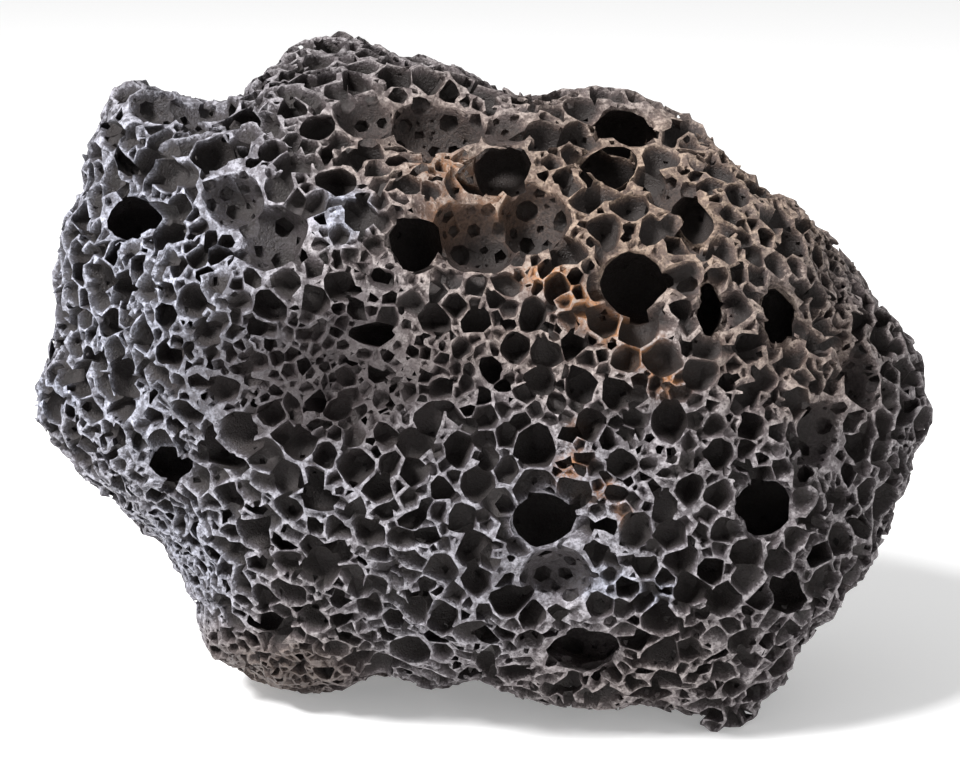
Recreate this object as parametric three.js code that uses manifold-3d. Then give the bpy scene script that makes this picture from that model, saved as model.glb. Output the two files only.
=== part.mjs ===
// A lump of lava rock (scoria), about 160 mm long, standing on the four high spots of its underside.
// It is one piece of frothy basalt: a sphere is pushed out to the rock's outline and broken faces,
// its shallow dishes are pressed in, and its largest gas bubbles are cut out.
// Millimetres, +Z up, front towards -Y.

import * as THREE from 'three';
import { mergeVertices } from 'three/addons/utils/BufferGeometryUtils.js';
import { ImprovedNoise } from 'three/addons/math/ImprovedNoise.js';
import Module from 'manifold-3d';

const LOOK_DOWN = THREE.MathUtils.degToRad(14); // the front is described as seen from this far above it
const MIDDLE_HEIGHT = 58; // the rock's middle above the surface it stands on
const SURFACE_DETAIL = 13; // how finely the sphere is divided
const BUBBLE_DETAIL = 2;
const CORNER_SHARPNESS = 9; // how crisply the broken faces meet
const OUTLINE_STEPS = 360;
const OUTLINE_FADE = 12; // the outline's small bumps fade this quickly towards the front and back
const FADE_SPREAD = THREE.MathUtils.degToRad(14);
const LUMP_SIZE = 17; // unevenness of the broken faces: how wide the lumps are, and how high
const LUMP_HEIGHT = 2.2;
const FOOT_DEPTH = 1.2; // the feet are worn flat by this much
const FOOT_SLOPE = 0.3; // how steeply the underside rises round each foot
const UNDERSIDE_RISE = 5; // and how far
const STONE = { color: 0x4a4145, roughness: 0.75, metalness: 0 };

// The outline seen from the front, clockwise from the horn at the upper left: right and up from the middle.
const OUTLINE = [
	[-68, 47], [-65, 53], [-61, 53.5], [-56.5, 52], [-50, 50.5], [-44, 50.5], [-38, 55.5], [-33, 60],
	[-23.5, 63], [-16.5, 60], [-8.5, 57.5], [0, 54.5], [11, 51], [19.5, 52.5], [29, 50], [34.5, 47.5],
	[41, 43], [47.5, 36], [57.5, 30], [64.5, 22.5], [73, 13], [77.5, 7], [81.5, -3], [79, -13],
	[75.5, -21], [72.5, -27], [68, -36], [61, -43], [57, -50], [53, -56], [48, -63], [44.5, -67],
	[39.5, -61.5], [33, -58.5], [19, -59.5], [9, -56], [0, -54], [-10, -55.5], [-17, -52], [-28, -55.5],
	[-36, -54.5], [-46.5, -50], [-50.5, -43], [-55, -33.5], [-64, -22.5], [-73.5, -15.5], [-80.5, -4],
	[-77.5, 7], [-76.5, 25], [-71, 38],
];

// The broken faces: which way each looks (right, up, towards the front) and its distance from the middle.
const FACES = [
	{ looks: [0.02, -0.1, 1], distance: 44 },
	{ looks: [0.15, 0.8, 0.8], distance: 50 },
	{ looks: [0.85, 0.15, 0.7], distance: 63 },
	{ looks: [0.5, -0.65, 0.65], distance: 67 },
	{ looks: [-0.75, -0.6, 0.55], distance: 55 },
	{ looks: [-0.8, 0.3, 0.6], distance: 68 },
	{ looks: [-0.15, -0.75, 0.7], distance: 50 },
	{ looks: [-0.15, 0.05, -1], distance: 41 },
	{ looks: [0.45, 0.6, -0.75], distance: 51 },
	{ looks: [-0.6, 0.45, -0.8], distance: 55 },
	{ looks: [0.75, -0.35, -0.75], distance: 66 },
	{ looks: [-0.7, -0.4, -0.65], distance: 64 },
];

// The feet it stands on: x, y and the radius of the flat spot.
const FEET = [
	[-32, 6, 9],
	[42, -26, 6],
	[35, 16, 9],
	[-25, 22, 8],
];

// Shallow dishes pressed in from the front: right, up, half width, half height, depth.
const DISHES = [
	[-9, 44, 15, 9, 6],
	[4, 28, 13, 11, 6],
	[-40, 27, 11, 11, 5],
	[-27, 0, 25, 14, 5],
	[24, 39, 14, 12, 5],
	[-51, 47, 11, 7, 6],
	[12, -33, 10, 9, 4],
	[18, -45, 11, 7, 4],
	[58, -8, 8, 10, 4],
];

// The largest gas bubbles in the front: right, up, half width, half height.
const FRONT_BUBBLES = [
	[25, 16.5, 6.4, 5.8], [37.5, 12.5, 2.6, 5.4], [49.5, 11.5, 3.2, 5.8], [-11.5, 23, 4.4, 5.2],
	[-59.5, 27.5, 5.6, 4.4], [24.5, 44, 5.8, 4.2], [21.5, 36, 5.8, 4.4], [36, 27, 3.6, 4.6],
	[10, -23, 5.8, 5.2], [47.5, -21, 6, 5.6], [-54, -14, 4.8, 3.2], [64.5, 1, 5.2, 5.2],
	[52, -35.5, 3.6, 4], [-40.5, 43.5, 3.6, 3.2], [17, -45, 7, 4.2], [1, 35, 5, 4.6],
];

// The largest in the back: right, up, radius.
const BACK_BUBBLES = [[-38, 18, 5.5], [-12, 30, 4.6], [14, 4, 4.8], [42, -8, 5], [-28, -20, 4.8], [30, 28, 4.2]];

const frontToRock = new THREE.Matrix4()
	.makeBasis(
		new THREE.Vector3(1, 0, 0),
		new THREE.Vector3(0, Math.sin(LOOK_DOWN), Math.cos(LOOK_DOWN)),
		new THREE.Vector3(0, -Math.cos(LOOK_DOWN), Math.sin(LOOK_DOWN)),
	)
	.setPosition(0, 0, MIDDLE_HEIGHT);

const outline = new THREE.CatmullRomCurve3(OUTLINE.map(([x, y]) => new THREE.Vector3(x, y, 0)), true)
	.getPoints(OUTLINE_STEPS);
const faces = FACES.map(({ looks, distance }) => ({
	normal: new THREE.Vector3(...looks).normalize(),
	distance,
}));
const lumps = new ImprovedNoise();

// How far the outline is from the middle at an angle, counted anticlockwise from the right.
function outlineReach(angle) {
	const x = Math.cos(angle);
	const y = Math.sin(angle);
	let reach = 0;
	for (let i = 0; i < outline.length - 1; i++) {
		const a = outline[i];
		const ex = outline[i + 1].x - a.x;
		const ey = outline[i + 1].y - a.y;
		const across = x * ey - y * ex;
		if (Math.abs(across) < 1e-9) continue;
		const along = (a.x * y - a.y * x) / across;
		if (along < 0 || along > 1) continue;
		reach = Math.max(reach, (a.x * ey - a.y * ex) / across);
	}
	return reach;
}

// The outline carried towards the front and back, where only its large shape is left.
function sideReach(angle, flat) {
	const large = [-2, -1, 0, 1, 2]
		.map((step) => outlineReach(angle + step * FADE_SPREAD))
		.reduce((total, reach) => total + reach / 5, 0);
	return THREE.MathUtils.lerp(large, outlineReach(angle), flat ** OUTLINE_FADE) / flat;
}

// The outline and the broken faces, run together with rounded corners.
function roundedReach(direction) {
	const sides = faces.map(({ normal, distance }) => Math.max(0, normal.dot(direction)) / distance);
	const flat = Math.hypot(direction.x, direction.y);
	if (flat > 1e-3) sides.push(1 / sideReach(Math.atan2(direction.y, direction.x), flat));
	const sum = sides.reduce((total, side) => total + side ** CORNER_SHARPNESS, 0);
	return sum ** (-1 / CORNER_SHARPNESS);
}

// The rounded corners are let out until the rock meets the outline where it is widest.
function rockReach(direction) {
	const flat = Math.hypot(direction.x, direction.y);
	if (flat < 1e-3) return roundedReach(direction);
	const rim = new THREE.Vector3(direction.x, direction.y, 0).normalize();
	const letOut = outlineReach(Math.atan2(rim.y, rim.x)) / roundedReach(rim) - 1;
	return roundedReach(direction) * (1 + letOut * flat ** OUTLINE_FADE);
}

function pressDishes(point) {
	if (point.z < 0) return;
	for (const [x, y, halfWidth, halfHeight, depth] of DISHES) {
		const off = ((point.x - x) / halfWidth) ** 2 + ((point.y - y) / halfHeight) ** 2;
		if (off < 1) point.z -= depth * (1 - off) ** 2;
	}
}

// The underside reaches lowest at each foot and rises gently between them.
function undersideHeight(x, y) {
	const gaps = FEET.map(([footX, footY, radius]) => Math.hypot(x - footX, y - footY) - radius);
	const gap = Math.max(0, Math.min(...gaps));
	return UNDERSIDE_RISE * Math.tanh((gap * FOOT_SLOPE) / UNDERSIDE_RISE) - FOOT_DEPTH;
}

function skinPoint(direction) {
	const point = direction.clone().multiplyScalar(rockReach(direction));
	const at = point.clone().divideScalar(LUMP_SIZE);
	point.addScaledVector(direction, LUMP_HEIGHT * lumps.noise(at.x, at.y, at.z));
	pressDishes(point);
	point.applyMatrix4(frontToRock);
	point.z = Math.max(point.z, undersideHeight(point.x, point.y));
	return point;
}

function sphere(detail) {
	const geometry = new THREE.IcosahedronGeometry(1, detail);
	geometry.deleteAttribute('normal');
	geometry.deleteAttribute('uv');
	return mergeVertices(geometry);
}

function skinGeometry() {
	const geometry = sphere(SURFACE_DETAIL);
	const { position } = geometry.attributes;
	const direction = new THREE.Vector3();
	for (let i = 0; i < position.count; i++) {
		direction.fromBufferAttribute(position, i).normalize();
		position.setXYZ(i, ...skinPoint(direction));
	}
	return geometry;
}

// The surface straight behind a spot seen from the front, or from the back where side is -1.
function surfaceAt(x, y, side) {
	const step = 0.5;
	for (let depth = 60; depth > 0; depth -= step) {
		const point = new THREE.Vector3(x, y, depth * side);
		pressDishes(point);
		const reach = rockReach(new THREE.Vector3(x, y, depth * side).normalize());
		if (Math.hypot(x, y, depth) <= reach) return point;
	}
	return new THREE.Vector3(x, y, 0);
}

// A bubble is a stretched ball sunk a third of its depth below the surface.
function bubbleGeometry([x, y, halfWidth, halfHeight], side) {
	const depth = Math.max(halfWidth, halfHeight);
	const centre = surfaceAt(x, y, side);
	const geometry = sphere(BUBBLE_DETAIL);
	geometry.scale(halfWidth, halfHeight, depth);
	geometry.translate(centre.x, centre.y, centre.z - (side * depth) / 3);
	geometry.applyMatrix4(frontToRock);
	return geometry;
}

// Everything below the surface that the rock stands on.
function groundGeometry() {
	const size = 4 * MIDDLE_HEIGHT;
	const geometry = new THREE.BoxGeometry(size, size, size);
	geometry.deleteAttribute('normal');
	geometry.deleteAttribute('uv');
	geometry.translate(0, 0, -size / 2);
	return mergeVertices(geometry);
}

const wasm = await Module();
wasm.setup();

function solid(geometry) {
	return new wasm.Manifold(new wasm.Mesh({
		numProp: 3,
		vertProperties: new Float32Array(geometry.attributes.position.array),
		triVerts: new Uint32Array(geometry.index.array),
	}));
}

function rockGeometry() {
	let rock = solid(skinGeometry()).subtract(solid(groundGeometry()));
	for (const bubble of FRONT_BUBBLES) rock = rock.subtract(solid(bubbleGeometry(bubble, 1)));
	for (const [x, y, radius] of BACK_BUBBLES) {
		rock = rock.subtract(solid(bubbleGeometry([x, y, radius, radius], -1)));
	}
	const { vertProperties, triVerts } = rock.getMesh();
	const geometry = new THREE.BufferGeometry();
	geometry.setAttribute('position', new THREE.BufferAttribute(vertProperties, 3));
	geometry.setIndex(new THREE.BufferAttribute(triVerts, 1));
	geometry.computeBoundingBox();
	const middle = geometry.boundingBox.getCenter(new THREE.Vector3());
	return geometry.translate(-middle.x, -middle.y, 0);
}

const rock = new THREE.Mesh(rockGeometry(), new THREE.MeshStandardMaterial(STONE));
rock.name = 'lava_rock';

const part = new THREE.Group();
part.add(rock);

export default part;
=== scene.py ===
import math

import bmesh
import bpy
import numpy as np
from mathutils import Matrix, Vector, noise
from mathutils.bvhtree import BVHTree


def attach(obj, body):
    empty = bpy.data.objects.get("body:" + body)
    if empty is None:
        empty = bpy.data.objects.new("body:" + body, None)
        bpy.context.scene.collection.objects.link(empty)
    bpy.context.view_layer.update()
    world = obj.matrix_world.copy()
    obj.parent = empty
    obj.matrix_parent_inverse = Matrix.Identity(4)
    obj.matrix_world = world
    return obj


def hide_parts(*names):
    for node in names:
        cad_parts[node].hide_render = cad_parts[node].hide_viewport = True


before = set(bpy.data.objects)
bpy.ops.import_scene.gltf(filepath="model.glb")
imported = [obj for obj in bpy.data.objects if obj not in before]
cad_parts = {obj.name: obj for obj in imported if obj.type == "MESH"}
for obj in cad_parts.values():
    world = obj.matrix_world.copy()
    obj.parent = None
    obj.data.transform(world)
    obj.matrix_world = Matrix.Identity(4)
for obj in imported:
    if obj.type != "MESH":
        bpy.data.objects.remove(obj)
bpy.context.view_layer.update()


# ---------------------------------------------------------------------------------------------
# The lump of lava froth as it broke off, before any bubble is opened: its broken faces and wide
# dishes, roughened where the froth snapped. Nothing reaches below z = 0, so it stands flat.

MM = 0.001
SKIN_STEP = 0.9 * MM
SNAPPED = [(8.0, 1.5), (3.4, 0.9), (1.7, 0.5)]  # millimetres wide and high

lump = bpy.data.objects.new("scoria_lump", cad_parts["lava_rock"].data.copy())
bpy.context.scene.collection.objects.link(lump)
lump.data.materials.clear()

joined_up = bmesh.new()
joined_up.from_mesh(lump.data)
bmesh.ops.remove_doubles(joined_up, verts=joined_up.verts, dist=0.001 * MM)
joined_up.to_mesh(lump.data)
joined_up.free()


def bake_modifiers(piece):
    graph = bpy.context.evaluated_depsgraph_get()
    finished = bpy.data.meshes.new_from_object(piece.evaluated_get(graph))
    rough = piece.data
    piece.modifiers.clear()
    piece.data = finished
    bpy.data.meshes.remove(rough)


def corner_positions(mesh):
    places = np.empty(len(mesh.vertices) * 3)
    mesh.vertices.foreach_get("co", places)
    return places.reshape(-1, 3)


remesh = lump.modifiers.new("even", "REMESH")
remesh.mode = "VOXEL"
remesh.voxel_size = SKIN_STEP
bake_modifiers(lump)

skin = corner_positions(lump.data)
outward = np.array([corner.normal for corner in lump.data.vertices])
swell = np.zeros(len(skin))
for width, height in SNAPPED:
    swell += [height * MM * noise.noise(Vector(place / (width * MM))) for place in skin]
skin += outward * swell[:, None]
skin[:, 2] = np.maximum(skin[:, 2], 0)
lump.data.vertices.foreach_set("co", skin.ravel())
lump.data.update()

skin_faces = [tuple(face.vertices) for face in lump.data.polygons]
skin_tree = BVHTree.FromPolygons([Vector(place) for place in skin], skin_faces)
face_middle = np.array([face.center for face in lump.data.polygons])
face_normal = np.array([face.normal for face in lump.data.polygons])


# ---------------------------------------------------------------------------------------------
# The gas bubbles. The biggest are placed one by one, seen from the front, 14 degrees above it;
# the rest fill the froth between them, large to small, each as big as its neighbours leave room
# for. Where two bubbles meet, a thin wall of rock is left, or they run into one another.

LOOK_DOWN = math.radians(14)
MIDDLE = np.array([0.5, 0.3, 58]) * MM
FRONT = np.array([
    [1, 0, 0],
    [0, math.sin(LOOK_DOWN), math.cos(LOOK_DOWN)],
    [0, -math.cos(LOOK_DOWN), math.sin(LOOK_DOWN)],
])  # right, up and towards the front

# Shallow dishes, the floors of bubbles that broke open: right, up, half width, half height, depth.
DISHES = [
    (-42, 30.5, 7, 6.5, 5.4), (-35.5, 24.5, 7.5, 6.5, 6), (-56, 49.5, 6.5, 5, 4),
    (-48.5, 48, 6, 4.5, 4), (-19, 46.5, 7, 6, 4.6), (-7, 44, 9, 7.5, 5.6), (4, 45, 5.5, 5.5, 4),
    (-0.5, 25, 8, 8, 6), (8.5, 28, 7, 7.5, 6.2), (58.5, -9, 5.6, 7.6, 5), (12, -33, 7, 5.5, 4),
    (17, -45, 9, 4.6, 5), (65, 0.5, 5.4, 5.4, 4.2), (33, 33, 5, 5, 4), (29, 47, 5, 3.5, 3.6),
]

# Deep bubbles: right, up, half width, half height, how far the middle lies under the surface.
DEEP = [
    (3.6, 36, 5.6, 5.2, 0.5), (18, 47.3, 4.5, 3.6, 0), (24.3, 43.7, 6.3, 4.5, 1),
    (21.6, 36.9, 6.3, 5, 1), (30.6, 39.2, 3.6, 3.6, 0), (24.3, 29.3, 3.8, 2.7, 0.5),
    (36, 27.2, 3.8, 4.8, 1.5), (25.2, 16.7, 7, 6.2, 3), (37.4, 12.2, 2.8, 5.8, 2),
    (49.5, 11.3, 3.5, 6.1, 2), (43.2, 32, 2.6, 3.2, 0.5), (-11.7, 23, 4.7, 5.6, 2),
    (-59.4, 27.5, 6, 4.7, 2), (-64.8, 42.8, 4.5, 2.8, 1), (-40.5, 43.7, 3.9, 3.5, 1.5),
    (-33.3, 50, 2.8, 2.3, 0.5), (-25.2, 50, 2.2, 2.2, 0.5), (-20.7, 55, 3.6, 2.4, 0.5),
    (-28.8, 56.5, 3.2, 2, 0.5), (-67.5, 32, 2.6, 4, 1), (-24.3, 32.9, 4, 3.3, 1),
    (-17.5, 35.6, 2.3, 2.3, 1), (-17.1, 30.2, 1.9, 1.9, 1), (-23.4, 24.3, 2, 2, 1),
    (-18, 8, 5.5, 1.9, 1), (-62, -4.9, 6, 2.8, 1.5), (-50, -5, 5, 2.5, 1.5), (-54, -13.9, 5, 3.5, 2),
    (-72.9, -8.5, 2.6, 2.6, 0.5), (-76, 1.4, 2.3, 2.3, 0.5), (-60.3, -16.6, 2, 2, 0.5),
    (-36, -12, 3.7, 2.8, 1), (-32.4, -21, 2.8, 2.8, 1), (-0.9, -16.6, 3.5, 3.2, 1),
    (-3.6, -22.3, 2.6, 2.6, 1), (-18.9, -24.7, 3.7, 2.8, 1), (-7.2, -31, 3.3, 3.3, 1),
    (-0.9, -32.8, 2.6, 3.6, 1), (9.9, -22.9, 6.2, 5.6, 2.5), (47.7, -21, 6.4, 6, 2.5),
    (44, -28.5, 3.6, 3, 1), (71.5, -2.5, 4, 4, 0), (68.4, -12, 2.9, 2.6, 1.5),
    (34.2, -17.5, 2.6, 3.7, 1), (30.6, -6.7, 3, 4, 1), (40.5, -36.4, 3.1, 4.5, 1),
    (52.2, -35.5, 4, 4.3, 2), (-12.6, -46.3, 4.5, 3.2, 0.5), (45, -43.6, 3.7, 3.7, 1),
    (52.2, -49, 2.8, 3.2, 1), (44.1, -53, 3.2, 2.3, 1), (28.8, -53.5, 5.4, 2, 1),
    (25.2, -24.7, 3.3, 3.3, 1), (61.2, -27, 3.6, 3.4, 1), (61.2, -19.8, 2.7, 2.7, 1),
    (66.6, -19.3, 2.6, 3, 1), (5.4, 5.9, 2.8, 2.8, 1), (19.8, -37.5, 2.6, 2.6, 2.5),
]

# Deep bubbles in the back: right, up, radius.
BACK = [
    (-38, 18, 5.8), (-12, 30, 4.9), (14, 4, 5.2), (42, -8, 5.3), (-28, -20, 5.1), (30, 28, 4.5),
    (-50, -5, 4), (0, -30, 5), (30, -30, 4.2), (-20, 5, 3.6), (55, 15, 3.6), (2, 18, 3.4),
]

# Random bubbles, large to small: largest and smallest radius, and how many times one is tried.
SIZES = [(3.6, 2.5, 2500), (2.5, 1.6, 12000), (1.6, 1.05, 40000), (1.05, 0.65, 40000)]
OVERLAP = 0.35  # how far a bubble may press into its neighbours, as a share of its radius

# Where the froth is finer: right, up, half width, half height, and how much finer.
FINE = [
    (-60, -38, 15, 20, 0.55), (-36, -52, 14, 7, 0.6), (-27, 1, 24, 11, 0.42), (20, -5, 14, 14, 0.2),
]

BROKEN_IN = 9.0  # how deep the bubble was that a dish is the floor of
DEEP_STRETCH = 1.35  # a deep bubble's depth for its larger half width
DEEP_WIDEN = 1.08
PRESS_ROOM = 4 * MM  # how far round a bubble the map of free room is brought up to date
NARROW_PRESS_ROOM = 3 * MM
SMALLEST_SHARE = 0.8  # a bubble squeezed below this share of its smallest size isn't made

random = np.random.default_rng(11)


def from_front(places):
    return (places - MIDDLE) @ FRONT.T


def to_rock(right, up, towards):
    return np.array([right, up, towards]) * MM @ FRONT + MIDDLE


def skin_behind(right, up, side):
    start = to_rock(right, up, 90 * side)
    return np.array(skin_tree.ray_cast(Vector(start), Vector(-side * FRONT[2]))[0])


centres = []
radii = []
axes = []
halves = []
facing = []


def add_bubble(centre, radius, own_axes, half, way_out):
    centres.append(centre)
    radii.append(radius)
    axes.append(own_axes)
    halves.append(half)
    facing.append(way_out)


for right, up, half_width, half_height, depth in DISHES:
    opening = math.sqrt(1 - (1 - depth / BROKEN_IN) ** 2)
    centre = skin_behind(right, up, 1) + FRONT[2] * (BROKEN_IN - depth) * MM
    half = np.array([half_width / opening, half_height / opening, BROKEN_IN]) * MM
    add_bubble(centre, half[:2].mean(), FRONT, half, FRONT[2])
for right, up, half_width, half_height, sunk in DEEP:
    deep = DEEP_STRETCH * max(half_width, half_height)
    centre = skin_behind(right, up, 1) - FRONT[2] * 0.35 * sunk * MM
    half = np.array([DEEP_WIDEN * half_width, DEEP_WIDEN * half_height, deep]) * MM
    add_bubble(centre, half[:2].mean(), FRONT, half, FRONT[2])
for right, up, radius in BACK:
    centre = skin_behind(right, up, -1) + FRONT[2] * 0.35 * radius * MM
    add_bubble(centre, radius * MM, FRONT, np.array([1.05, 0.9, 1.1]) * radius * MM, -FRONT[2])

# A coarse map of how far every spot is from the nearest bubble.
GRID = 0.5 * MM
MARGIN = 6 * MM
low = skin.min(0) - MARGIN
steps = np.ceil((skin.max(0) + MARGIN - low) / GRID).astype(int)
room = np.full(steps, 1.0, np.float32)


def mark_taken(centre, own_axes, half, near):
    reach = half.max() + near
    first = np.maximum(0, ((centre - reach - low) / GRID).astype(int))
    last = np.minimum(steps, ((centre + reach - low) / GRID).astype(int) + 2)
    ranges = [low[k] + GRID * np.arange(first[k], last[k]) - centre[k] for k in range(3)]
    offset = np.stack(np.meshgrid(*ranges, indexing="ij"), -1)
    distance = np.linalg.norm(offset, axis=-1)
    share = np.linalg.norm(offset @ own_axes.T / half, axis=-1)
    gap = distance * (1 - 1 / np.maximum(share, 1e-6))
    part = room[first[0]:last[0], first[1]:last[1], first[2]:last[2]]
    np.minimum(part, gap, out=part)


for centre, own_axes, half in zip(centres, axes, halves):
    mark_taken(centre, own_axes, half, PRESS_ROOM)

seen = from_front(face_middle) / MM
fineness = np.ones(len(seen))
for right, up, half_width, half_height, finer in FINE:
    off = ((seen[:, 0] - right) / half_width) ** 2 + ((seen[:, 1] - up) / half_height) ** 2
    fineness *= 1 - finer * np.exp(-(off**2)) * (seen[:, 2] > -25)
fineness *= [1 + 0.35 * noise.noise(Vector(place * 45)) for place in face_middle]

for largest, smallest, tries in SIZES:
    face = random.integers(0, len(face_middle), tries)
    wanted = random.uniform(smallest, largest, tries) * MM * fineness[face]
    sunk = random.uniform(-0.15, 0.7, tries) * wanted
    stray = random.uniform(-0.6, 0.6, (tries, 3)) * MM
    spots = face_middle[face] - face_normal[face] * sunk[:, None] + stray
    cells = ((spots - low) / GRID + 0.5).astype(int)
    for i in range(tries):
        free = room[tuple(cells[i])]
        if free <= 0:
            continue
        radius = min(wanted[i], free / (1 - OVERLAP))
        if radius < SMALLEST_SHARE * smallest * MM * fineness[face[i]]:
            continue
        way_out = Vector(face_normal[face[i]] + 0.35 * random.normal(size=3)).normalized()
        side = way_out.orthogonal().normalized()
        turn = random.uniform(0, math.tau)
        across = math.cos(turn) * side + math.sin(turn) * way_out.cross(side)
        own_axes = np.array([across, way_out.cross(across), way_out])
        stretch = random.uniform([1.0, 0.9, 1.1], [1.35, 1.1, 1.5]) * random.uniform(1.15, 1.4)
        mark_taken(spots[i], own_axes, np.full(3, radius), NARROW_PRESS_ROOM)
        add_bubble(spots[i], radius, own_axes, radius * stretch, np.array(face_normal[face[i]]))

centres = np.array(centres)
radii = np.array(radii)
axes = np.array(axes)
halves = np.array(halves)
facing = np.array(facing)
widest = halves.max(1)
count = len(centres)


# ---------------------------------------------------------------------------------------------
# The bubbles opened in the rock. Each is a ball pressed flat wherever a neighbour pushed back,
# with a wall between them that thins towards the outside, where it snapped; some ran together.

# How finely a ball is divided, up to each half width in millimetres.
BALL_FINENESS = [(1.25, 2), (5.2, 3), (99, 4)]
THIN_WALL = 0.07 * MM  # at the broken outside
THICK_WALL = (0.25 * MM, 0.8 * MM)  # deep inside
RUN_TOGETHER = 0.4  # share of neighbours that ran into one another
WINDOW = (0.4 * MM, 1.0 * MM)  # how far those overlap
PASSES = 3  # bubbles that overlap are opened in different passes
BIG_BUBBLE = 2.6 * MM  # the walls of bubbles wider than this get pits
DEEPEST_WAVE = 0.08  # how far a bubble's wall strays from an even oval


def ball_mesh(subdivisions):
    shape = bmesh.new()
    bmesh.ops.create_icosphere(shape, subdivisions=subdivisions, radius=1)
    mesh = bpy.data.meshes.new("ball")
    shape.to_mesh(mesh)
    shape.free()
    return mesh


balls = {fineness: ball_mesh(fineness) for _, fineness in BALL_FINENESS}
ball_directions = {}
for fineness, mesh in balls.items():
    directions = corner_positions(mesh)
    ball_directions[fineness] = directions / np.linalg.norm(directions, axis=1)[:, None]


def random_turn():
    turned = np.linalg.qr(random.normal(size=(3, 3)))[0]
    return turned * np.sign(np.linalg.det(turned))


def pair_chance(i, others, salt=0.0):
    first = np.minimum(i, others)
    second = np.maximum(i, others)
    return np.sin(first * 12.9898 + second * 78.233 + salt) * 43758.5453 % 1


def reach_along(directions, own_axes, half):
    return 1 / np.linalg.norm(directions @ own_axes.T / half, axis=-1)


def near_bubbles(i):
    offset = centres - centres[i]
    distance = np.linalg.norm(offset, axis=1)
    near = np.nonzero((distance < 1.1 * (widest[i] + widest)) & (distance > 0))[0]
    return near, distance[near], offset[near] / distance[near, None]


def runs_together(i, others):
    chance = pair_chance(i, others) < RUN_TOGETHER
    both_dishes = (i < len(DISHES)) & (others < len(DISHES))
    return chance | both_dishes


neighbours = [near_bubbles(i) for i in range(count)]
opened_in = np.full(count, -1)
for i in np.argsort(-radii):
    near = neighbours[i][0]
    taken = set(opened_in[near[runs_together(i, near)]])
    free = [n for n in range(PASSES) if n not in taken]
    opened_in[i] = free[int(pair_chance(i, i) * len(free))] if free else 0


def pressed_ball(i, directions):
    own = reach_along(directions, axes[i], halves[i])
    waves = random.uniform(2, 6, 3) * directions + random.uniform(0, math.tau, 3)
    own = own * (1 + DEEPEST_WAVE * np.sin(waves).sum(1))
    near, distance, towards = neighbours[i]
    outer = np.clip(0.5 + 1.2 * directions @ facing[i], 0, 1)
    if len(near) == 0:
        return own[:, None] * directions + centres[i]
    mine = reach_along(towards, axes[i], halves[i])
    towards_theirs = np.einsum("nk,njk->nj", towards, axes[near])
    theirs = 1 / np.linalg.norm(towards_theirs / halves[near], axis=1)
    chance = pair_chance(i, near, 2.0)
    inner_wall = THICK_WALL[0] + (THICK_WALL[1] - THICK_WALL[0]) * chance**2
    wall = THIN_WALL * (0.7 + chance) * outer[:, None] + inner_wall * (1 - outer[:, None])
    joined = runs_together(i, near) & (opened_in[near] != opened_in[i])
    wall[:, joined] = -(WINDOW[0] + (WINDOW[1] - WINDOW[0]) * chance[joined])
    middle = distance * mine / (mine + theirs)
    plane = np.maximum(middle - wall / 2, 0.4 * middle)
    pressed = np.maximum(0, directions @ towards.T) / plane
    power = 12 + 16 * outer
    reach = (own**-power + (pressed ** power[:, None]).sum(1)) ** (-1 / power)
    return reach[:, None] * directions + centres[i]


def cut_away(shapes):
    stack = bmesh.new()
    for fineness, _ in shapes:
        stack.from_mesh(balls[fineness])
    tool = bpy.data.objects.new("tool", bpy.data.meshes.new("tool"))
    bpy.context.scene.collection.objects.link(tool)
    stack.to_mesh(tool.data)
    stack.free()
    tool.data.vertices.foreach_set("co", np.concatenate([places for _, places in shapes]).ravel())
    tool.data.update()
    cut = lump.modifiers.new("cut", "BOOLEAN")
    cut.operation = "DIFFERENCE"
    cut.solver = "MANIFOLD"
    cut.object = tool
    bake_modifiers(lump)
    bpy.data.objects.remove(tool)


opened = [[] for _ in range(PASSES)]
big_walls = []
for i in range(count):
    fineness = next(f for limit, f in BALL_FINENESS if halves[i][:2].max() < limit * MM)
    directions = ball_directions[fineness] @ random_turn()
    places = pressed_ball(i, directions)
    opened[opened_in[i]].append((fineness, places))
    if radii[i] > BIG_BUBBLE:
        big_walls.append((i, places, directions))
for shapes in opened:
    cut_away(shapes)


# ---------------------------------------------------------------------------------------------
# The pits: small late bubbles in the walls of the bigger ones, which turn the floors of the
# shallow dishes back into froth and open little windows from one bubble into the next.

# Largest and smallest radius, and how many times a pit is tried in a bubble of the usual size.
DISH_PITS = [(2.4, 1.4, 260), (1.4, 0.8, 600), (0.8, 0.45, 500)]
WALL_PITS = [(0.9, 0.4, 40)]
USUAL_SIZE = 7 * MM
LEAST_TRIES = 6
LEAST_COVER = 0.5 * MM  # pits start this far under the skin
PIT_SPREAD = 1.18  # how far a squashed pit reaches, as a share of its radius
PIT_SPACE = 1.2

pit_centres = np.zeros((0, 3))
pit_reach = np.zeros(0)
pits = []
for i, places, directions in big_walls:
    for largest, smallest, tries in DISH_PITS if i < len(DISHES) else WALL_PITS:
        share = (radii[i] / USUAL_SIZE) ** 2
        for k in random.integers(0, len(places), max(LEAST_TRIES, int(tries * share))):
            spot, way_in = places[k], directions[k]
            nearest, normal, _, _ = skin_tree.find_nearest(Vector(spot))
            if (nearest - Vector(spot)).dot(normal) < LEAST_COVER:
                continue
            radius = random.uniform(smallest, largest) * MM
            centre = spot + way_in * radius * random.uniform(-0.1, 0.35)
            gaps = np.linalg.norm(pit_centres - centre, axis=1) - pit_reach
            if len(gaps) and gaps.min() < PIT_SPACE * radius:
                continue
            pit_centres = np.vstack([pit_centres, centre])
            pit_reach = np.append(pit_reach, PIT_SPREAD * radius)
            squash = random.uniform(0.8, 1.12, 3)
            pits.append((2, centre + radius * (ball_directions[2] * squash) @ random_turn()))
cut_away(pits)


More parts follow.
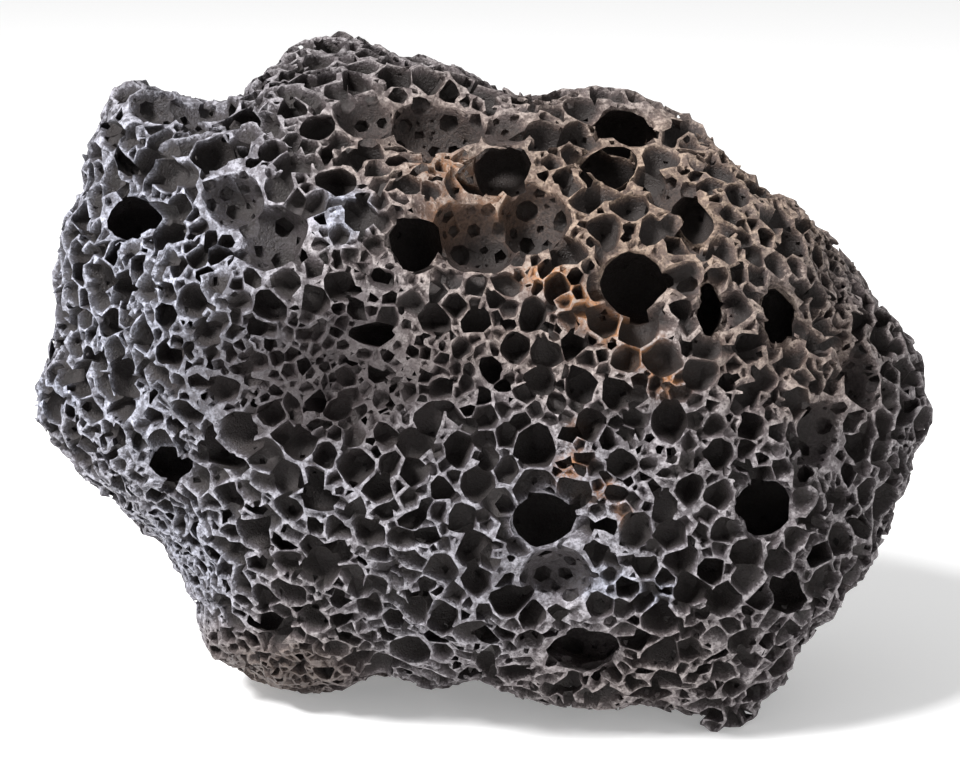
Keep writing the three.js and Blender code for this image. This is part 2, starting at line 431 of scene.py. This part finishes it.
# ---------------------------------------------------------------------------------------------
# The froth cleaned up: flakes that hang by nothing are dropped, the surface is thinned to a
# sensible number of faces, and the broken edges of the walls are left a little ragged.

MOST_FACES = 196000
RAGGED = 0.16 * MM
RAGGED_WIDTH = 0.9 * MM
SHARP_EDGE = math.radians(42)
DISH_GLASS_AND_SHADE_DEPTH = 1.2 * MM  # how deep a dish's floor counts for the darkening inside bubbles: part dark glass, part painted shade


def biggest_piece(mesh):
    ends = np.empty(len(mesh.edges) * 2, np.int32)
    mesh.edges.foreach_get("vertices", ends)
    ends = ends.reshape(-1, 2)
    label = np.arange(len(mesh.vertices))
    while True:
        lowest = label.copy()
        np.minimum.at(lowest, ends[:, 0], label[ends[:, 1]])
        np.minimum.at(lowest, ends[:, 1], label[ends[:, 0]])
        lowest = lowest[lowest]
        if (lowest == label).all():
            break
        label = lowest
    names, sizes = np.unique(label, return_counts=True)
    return label == names[sizes.argmax()]


def drop_flakes():
    keep = biggest_piece(lump.data)
    froth = bmesh.new()
    froth.from_mesh(lump.data)
    flakes = [corner for corner, kept in zip(froth.verts, keep) if not kept]
    bmesh.ops.delete(froth, geom=flakes, context="VERTS")
    bmesh.ops.triangulate(froth, faces=froth.faces)
    froth.to_mesh(lump.data)
    froth.free()


drop_flakes()

thin = lump.modifiers.new("thin", "DECIMATE")
thin.ratio = min(1, MOST_FACES / len(lump.data.polygons))
bake_modifiers(lump)
drop_flakes()

places = corner_positions(lump.data)
depth = np.empty(len(places))
for k, place in enumerate(places):
    nearest, normal, _, _ = skin_tree.find_nearest(Vector(place))
    depth[k] = max(0, (nearest - Vector(place)).dot(normal))
# A dish's floor counts as only a little deep, so it gets part of the dark glass colour and painted
# shade.
in_dish = np.full(len(places), 1.0)
for i in range(len(DISHES)):
    offset = places - centres[i]
    share = np.linalg.norm(offset @ axes[i].T / halves[i], axis=1)
    gap = np.linalg.norm(offset, axis=1) * (1 - 1 / np.maximum(share, 0.01))
    in_dish = np.minimum(in_dish, gap)
depth = np.minimum(depth, np.maximum(in_dish, 0) + DISH_GLASS_AND_SHADE_DEPTH)

shake = np.array([noise.noise_vector(Vector(place / RAGGED_WIDTH)) for place in places])
places = places + shake * RAGGED
places[:, 2] = np.maximum(places[:, 2], 0)
lump.data.vertices.foreach_set("co", places.ravel())
lump.data.update()
lump.data.shade_smooth()
lump.data.set_sharp_from_angle(angle=SHARP_EDGE)


def write_on_corners(name, values):
    layer = lump.data.attributes.new(name, "FLOAT", "POINT")
    layer.data.foreach_set("value", np.asarray(values, np.float32))


write_on_corners("depth", depth / MM)


# ---------------------------------------------------------------------------------------------
# The stone: a dark glassy basalt froth. The snapped rims are pale and crumbly, the bubbles are
# almost black inside, partly dark glass and partly painted shade that deepens with depth, the upper
# right has rusted tan with orange streaks, the left has a painted bluish sheen with painted highlights
# on its rims, and a recess and the underside at the bottom left carry painted shade.

# Patches of colour: right, up, half width, half height, strength.
TAN = [
    (28, 30, 45, 22, 1.0), (-5, 38, 22, 14, 0.7), (50, 8, 20, 14, 0.7), (-36, -51, 14, 8, 0.8),
    (12, 10, 26, 14, 0.5), (20, -48, 22, 12, 0.35),
]
ORANGE = [
    (10.8, 15.8, 5, 2.4, 1.0), (16, 13, 5, 2.4, 1.0), (21.6, 9.5, 4, 2.4, 1.0), (26, 4, 3.4, 3, 1.0),
    (28.8, -0.4, 2.6, 3.2, 0.9), (-5.4, 27, 4, 4, 0.5), (-6, 35, 5, 4, 0.5), (15.3, -13, 2, 2, 0.8),
    (19.8, -19.3, 1.8, 1.8, 0.8), (23.4, -22, 1.6, 1.6, 0.7), (16.2, -7.6, 1.8, 1.8, 0.8),
    (3, 29, 6, 5, 0.3),
]
# Painted sheen and highlight: a bluish gloss on the left, towards the lamp, and a few spots elsewhere.
PAINTED_SHEEN_PATCHES = [
    (-60, 15, 26, 42, 0.8), (-35, -18, 20, 12, 0.4), (-23.4, 27.5, 5, 5, 0.9), (19.8, -33.7, 6, 4, 0.8),
    (28.8, -33.7, 5, 4, 0.8), (-75.6, -3, 8, 7, 1.0), (-54, -30, 16, 16, 0.7), (5, -30, 30, 22, 0.35),
]
# Painted shade: the recess left of the middle and the underside at the bottom left, darkened as if in
# shadow.
PAINTED_SHADE_PATCHES = [(-27, 1, 24, 11, 0.9), (-36, -52, 16, 8, 0.7)]

WOBBLE_WIDTH = 9 * MM
WOBBLE = 3.5  # millimetres that the patches' edges stray

seen = from_front(places) / MM
wobble = WOBBLE * np.array([noise.noise_vector(Vector(place / WOBBLE_WIDTH)) for place in places])


def patches(list_of_patches):
    strength = np.zeros(len(seen))
    for right, up, half_width, half_height, amount in list_of_patches:
        off = ((seen[:, 0] + wobble[:, 0] - right) / half_width) ** 2
        off += ((seen[:, 1] + wobble[:, 1] - up) / half_height) ** 2
        strength = np.maximum(strength, amount * np.exp(-(off**1.5)))
    return strength


behind = np.clip(-seen[:, 2] / 20, 0, 1)
write_on_corners("tan", np.maximum(patches(TAN), 0.5 * behind))
write_on_corners("orange", patches(ORANGE) * (seen[:, 2] > -10))
# The painted sheen is weaker at the back.
write_on_corners("painted_sheen", patches(PAINTED_SHEEN_PATCHES) * (1 - 0.6 * behind))
# The painted shade lies on the front only.
write_on_corners("painted_shade", patches(PAINTED_SHADE_PATCHES) * (1 - behind))

stone = bpy.data.materials.new("scoria_froth")
stone.use_nodes = True
nodes = stone.node_tree.nodes
links = stone.node_tree.links
shader = nodes["Principled BSDF"]


def put(value, socket):
    if isinstance(value, bpy.types.NodeSocket):
        links.new(value, socket)
    else:
        socket.default_value = value


def add_node(kind, **inputs):
    node = nodes.new(kind)
    for name, value in inputs.items():
        put(value, node.inputs[name.replace("_", " ")])
    return node


def written(name):
    node = nodes.new("ShaderNodeAttribute")
    node.attribute_name = name
    return node.outputs["Fac"]


object_place = nodes.new("ShaderNodeTexCoord").outputs["Object"]


def grain(size, detail, roughness=0.6):
    node = add_node("ShaderNodeTexNoise", Vector=object_place, Scale=1 / (size * MM), Detail=detail,
                    Roughness=roughness)
    return node.outputs["Fac"]


def ramp(value, low, high, bottom=0.0, top=1.0):
    node = nodes.new("ShaderNodeMapRange")
    put(value, node.inputs["Value"])
    put(low, node.inputs["From Min"])
    put(high, node.inputs["From Max"])
    put(bottom, node.inputs["To Min"])
    put(top, node.inputs["To Max"])
    return node.outputs["Result"]


def maths(operation, first, second):
    node = nodes.new("ShaderNodeMath")
    node.operation = operation
    put(first, node.inputs[0])
    put(second, node.inputs[1])
    return node.outputs[0]


def blend_colours(first, second, amount):
    node = nodes.new("ShaderNodeMix")
    node.data_type = "RGBA"
    put(amount, node.inputs["Factor"])
    put(first, node.inputs[6])
    put(second, node.inputs[7])
    return node.outputs[2]


depth_here = written("depth")
crumb = grain(0.55, 4)
blotch = grain(5.0, 3)
broad = grain(18.0, 2)

ragged_depth = maths("ADD", depth_here, ramp(crumb, 0.3, 0.7, -0.45, 0.45))
rim = ramp(ragged_depth, 0.0, 0.6, 1.0, 0.0)
# Darker with depth under the skin: partly the dark glass of the bubble walls, partly painted shade.
dark_glass_and_shade = ramp(ragged_depth, 0.2, 1.5)

DARK_STONE = (0.030, 0.022, 0.024, 1)
LIGHT_STONE = (0.066, 0.052, 0.057, 1)
TAN_STONE = (0.092, 0.055, 0.039, 1)
# painted bluish sheen on the dark stone
PAINTED_SHEEN_STONE = (0.07, 0.074, 0.094, 1)
RUST = (0.42, 0.17, 0.045, 1)
PALE_RIM = (0.30, 0.275, 0.282, 1)
TAN_RIM = (0.335, 0.235, 0.16, 1)
# painted highlight on the rims, bluish and brighter
PAINTED_HIGHLIGHT_RIM = (0.41, 0.43, 0.52, 1)
# almost black: the dark glass of the bubble walls, deepened by painted shade
DARK_GLASS_AND_PAINTED_SHADE = (0.012, 0.008, 0.007, 1)
# painted shade colour for the recess and the underside
PAINTED_SHADE_STONE = (0.02, 0.013, 0.013, 1)
PORE = (0.03, 0.022, 0.02, 1)
PORE_SIZE = 0.75 * MM

tan = written("tan")
painted_sheen = written("painted_sheen")
painted_shade = written("painted_shade")
body = blend_colours(DARK_STONE, LIGHT_STONE, ramp(blotch, 0.4, 0.6))
body = blend_colours(body, TAN_STONE, maths("MULTIPLY", tan, ramp(broad, 0.3, 0.6, 0.5, 0.95)))
# Painted sheen: the left is tinted bluish grey as if glossy and lit.
body = blend_colours(body, PAINTED_SHEEN_STONE, maths("MULTIPLY", painted_sheen, 0.8))
rusty = maths("MULTIPLY", written("orange"), ramp(crumb, 0.35, 0.6, 0.35, 1.0))
body = blend_colours(body, RUST, rusty)

pale = blend_colours(PALE_RIM, TAN_RIM, maths("MULTIPLY", tan, 0.85))
# Painted highlight: the rims on the left are brighter and bluish.
pale = blend_colours(pale, PAINTED_HIGHLIGHT_RIM, painted_sheen)
crumbs = maths("MULTIPLY", rim, ramp(grain(1.3, 3), 0.42, 0.62, 0.15, 1.0))
# Pale rims are fainter where the painted shade lies.
surface = blend_colours(body, pale, maths("MULTIPLY", crumbs, ramp(painted_shade, 0, 1, 1.0, 0.45)))
# Deep in the bubbles the colour goes almost black: partly dark glass, partly painted shade.
surface = blend_colours(surface, DARK_GLASS_AND_PAINTED_SHADE, maths("MULTIPLY", dark_glass_and_shade, 0.93))
# Painted shade darkens the recess and the underside at the bottom left.
surface = blend_colours(surface, PAINTED_SHADE_STONE, maths("MULTIPLY", painted_shade, 0.9))
pore_pattern = add_node("ShaderNodeTexVoronoi", Vector=object_place, Scale=1 / PORE_SIZE, Randomness=1.0)
pores = pore_pattern.outputs["Distance"]
between_pores = ramp(pores, 0.12, 0.34, 0.45, 1.0)
surface = blend_colours(surface, PORE, maths("SUBTRACT", 1.0, between_pores))
put(surface, shader.inputs["Base Color"])
put(ramp(crumb, 0.3, 0.7, 0.42, 0.75), shader.inputs["Roughness"])

grit = ramp(grain(0.35, 4, 0.7), 0.2, 0.8, -0.8, 0.8)
height = maths("ADD", ramp(pores, 0.0, 0.4, -0.6, 0.4), grit)
bump = add_node("ShaderNodeBump", Height=height, Strength=0.75, Distance=0.16 * MM)
put(bump.outputs["Normal"], shader.inputs["Normal"])
lump.data.materials.clear()
lump.data.materials.append(stone)

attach(lump, "root")
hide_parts("lava_rock")


# ---------------------------------------------------------------------------------------------
# The studio: a flat sheet of white paper that glows a little, a soft lamp high on the left, a
# weak one low on the right, and some even light from all round.

FLOOR_WHITE = (0.9, 0.9, 0.9, 1)
FLOOR_GLOW = 0.3
FLOOR_HALF_WIDTH = 3
ROOM_LIGHT = 0.5

floor_shape = bmesh.new()
bmesh.ops.create_grid(floor_shape, x_segments=1, y_segments=1, size=FLOOR_HALF_WIDTH)
floor_mesh = bpy.data.meshes.new("floor")
floor_shape.to_mesh(floor_mesh)
floor_shape.free()
floor = bpy.data.objects.new("floor", floor_mesh)
bpy.context.scene.collection.objects.link(floor)
paper = bpy.data.materials.new("white_paper")
paper.use_nodes = True
paper_finish = paper.node_tree.nodes["Principled BSDF"].inputs
paper_finish["Base Color"].default_value = FLOOR_WHITE
paper_finish["Roughness"].default_value = 0.9
paper_finish["Emission Color"].default_value = FLOOR_WHITE
paper_finish["Emission Strength"].default_value = FLOOR_GLOW
floor_mesh.materials.append(paper)

around = bpy.data.worlds.new("studio")
around.use_nodes = True
room_light = around.node_tree.nodes["Background"].inputs
room_light["Color"].default_value = (1, 1, 1, 1)
room_light["Strength"].default_value = ROOM_LIGHT
bpy.context.scene.world = around


def aim(thing, place, target):
    thing.location = place
    thing.rotation_euler = (Vector(target) - Vector(place)).to_track_quat("-Z", "Y").to_euler()


def add_lamp(name, place, size, power):
    lamp = bpy.data.objects.new(name, bpy.data.lights.new(name, "AREA"))
    lamp.data.shape = "SQUARE"
    lamp.data.size = size
    lamp.data.energy = power
    aim(lamp, place, MIDDLE)
    bpy.context.scene.collection.objects.link(lamp)


add_lamp("key_lamp", (-0.55, -0.45, 0.85), 0.3, 25)
add_lamp("fill_lamp", (0.8, -0.9, 0.35), 0.6, 2)
bpy.context.scene.view_settings.view_transform = "Standard"


# ---------------------------------------------------------------------------------------------
# The camera, straight in front of the rock and 14 degrees above it, aimed just over its middle.

DISTANCE = 0.48
AIMED_ABOVE = 0.27 * MM

camera = bpy.data.objects.new("camera", bpy.data.cameras.new("camera"))
camera.data.lens = 100
camera.data.sensor_width = 36
camera.data.clip_start = 0.01
target = np.array([0, 0, 0.058]) + FRONT[1] * AIMED_ABOVE
aim(camera, target + FRONT[2] * DISTANCE, target)
bpy.context.scene.collection.objects.link(camera)
bpy.context.scene.camera = camera
